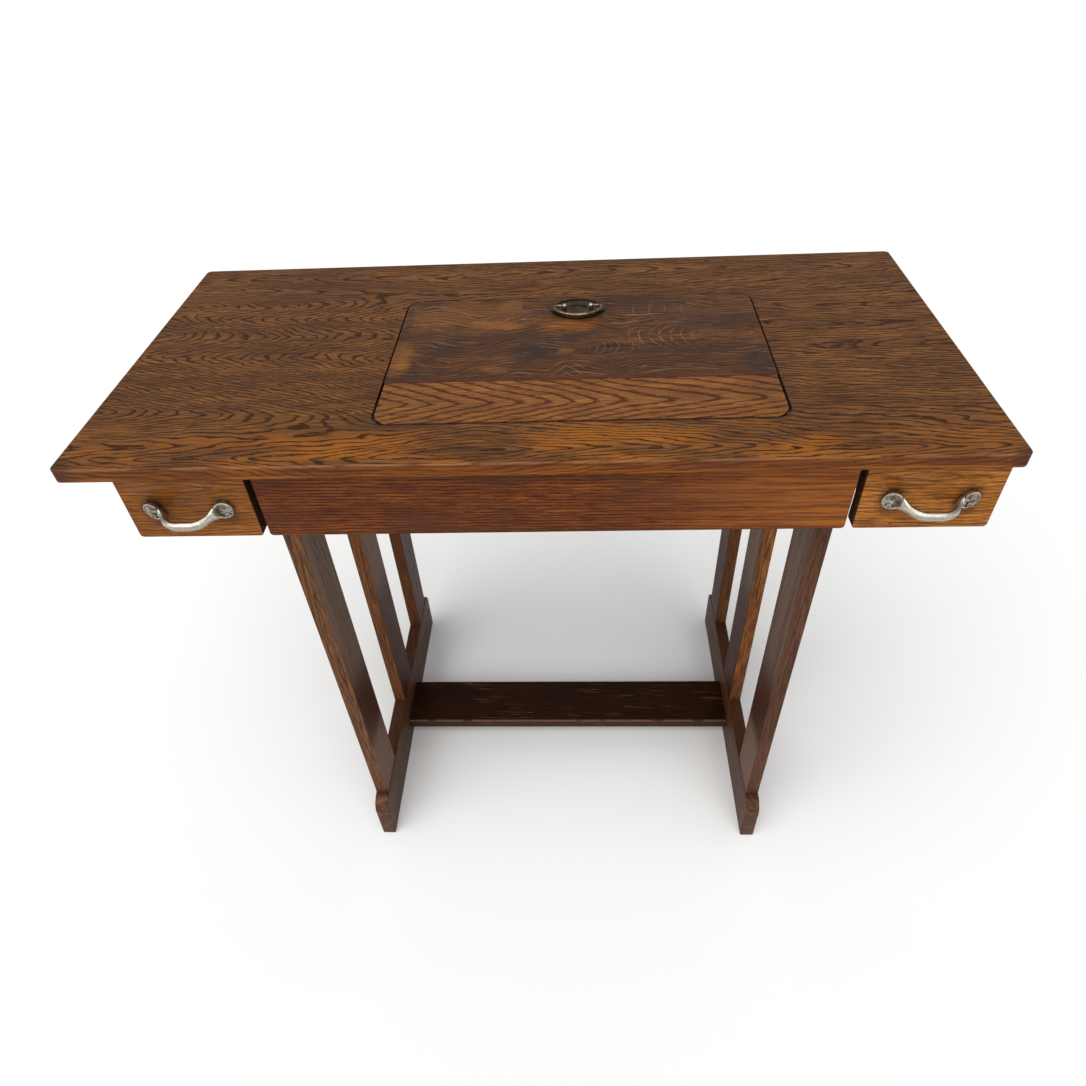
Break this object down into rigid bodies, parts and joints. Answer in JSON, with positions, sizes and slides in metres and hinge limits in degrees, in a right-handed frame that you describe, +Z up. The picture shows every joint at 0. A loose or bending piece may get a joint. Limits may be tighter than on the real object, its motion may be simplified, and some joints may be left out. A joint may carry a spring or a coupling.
{
  "type": "sewing machine table",
  "caption": "Wooden sewing table with slatted end frames, a foot board, small hanging drawers, and an inset lift-out lid with a hinged front flap.",
  "frame": {"origin": "The middle of the whole table's outline on the floor, under the top", "axes": "+X runs along the top's width to the right as seen by the person who sits at it, +Y runs from the drawer fronts to the rear, and +Z is up"},
  "size_m": [0.962, 0.485, 0.7708],
  "materials": {
    "top_oak": "worn satin varnish",
    "lid_oak": "worn satin varnish with dark stains",
    "flap_oak": "worn satin varnish",
    "apron_oak": "satin varnish",
    "leg_oak": "satin varnish",
    "foot_oak": "satin varnish",
    "stretcher_oak": "dark stain",
    "drawer_front_oak": "satin varnish",
    "drawer_wood": "bare wood",
    "hidden_wood": "bare wood",
    "screw_steel": "dull steel",
    "hinge_brass": "aged brass",
    "pull_brass": "dark antique brass",
    "handle_metal": "cast metal with a pewter look and dark hollows"
  },
  "bodies": {
    "table": {"table_top": "top_oak", "front_apron": "apron_oak", "rear_apron": "apron_oak", "left_top_rail": "apron_oak", "right_top_rail": "apron_oak", "left_front_leg": "leg_oak", "left_middle_leg": "leg_oak", "left_rear_leg": "leg_oak", "right_front_leg": "leg_oak", "right_middle_leg": "leg_oak", "right_rear_leg": "leg_oak", "left_foot": "foot_oak", "right_foot": "foot_oak", "stretcher": "stretcher_oak", "corner_blocks": "hidden_wood", "corner_block_screws": "screw_steel", "left_lid_ledge": "hidden_wood", "right_lid_ledge": "hidden_wood", "rear_lid_ledge": "hidden_wood", "ledge_screws": "screw_steel", "flap_hinge_fixed_leaves": "hinge_brass", "flap_hinge_pins": "hinge_brass", "flap_hinge_fixed_screws": "hinge_brass", "left_outer_hanger": "hidden_wood", "left_inner_hanger": "hidden_wood", "right_inner_hanger": "hidden_wood", "right_outer_hanger": "hidden_wood", "hanger_screws": "screw_steel", "left_drawer_stop": "hidden_wood", "right_drawer_stop": "hidden_wood"},
    "lid": {"lid_board": "lid_oak", "pull_plate": "pull_brass", "pull_posts": "pull_brass", "pull_nuts": "pull_brass"},
    "bail": {"pull_bail": "pull_brass"},
    "flap": {"front_flap": "flap_oak", "flap_hinge_moving_leaves": "hinge_brass", "flap_hinge_moving_screws": "hinge_brass"},
    "left_drawer": {"left_drawer_front": "drawer_front_oak", "left_drawer_outer_side": "drawer_wood", "left_drawer_inner_side": "drawer_wood", "left_drawer_back": "drawer_wood", "left_drawer_bottom": "drawer_wood", "left_drawer_slides": "drawer_wood", "left_handle": "handle_metal", "left_handle_screws": "screw_steel"},
    "right_drawer": {"right_drawer_front": "drawer_front_oak", "right_drawer_outer_side": "drawer_wood", "right_drawer_inner_side": "drawer_wood", "right_drawer_back": "drawer_wood", "right_drawer_bottom": "drawer_wood", "right_drawer_slides": "drawer_wood", "right_handle": "handle_metal", "right_handle_screws": "screw_steel"}
  },
  "joints": [
    {"name": "lid_lift", "type": "slide", "parent": "table", "child": "lid", "axis": [0, 0, 1], "range_m": [0, 0.15]},
    {"name": "bail_swing", "type": "hinge", "parent": "lid", "child": "bail", "pos_m": [0.052, 0.0912, 0.7674], "axis": [-1, 0, 0], "range_deg": [0, 180]},
    {"name": "flap_drop", "type": "hinge", "parent": "table", "child": "flap", "pos_m": [0.052, -0.1582, 0.7421], "axis": [-1, 0, 0], "range_deg": [0, 110]},
    {"name": "left_drawer_slide", "type": "slide", "parent": "table", "child": "left_drawer", "axis": [0, -1, 0], "range_m": [0, 0.24]},
    {"name": "right_drawer_slide", "type": "slide", "parent": "table", "child": "right_drawer", "axis": [0, -1, 0], "range_m": [0, 0.24]}
  ]
}
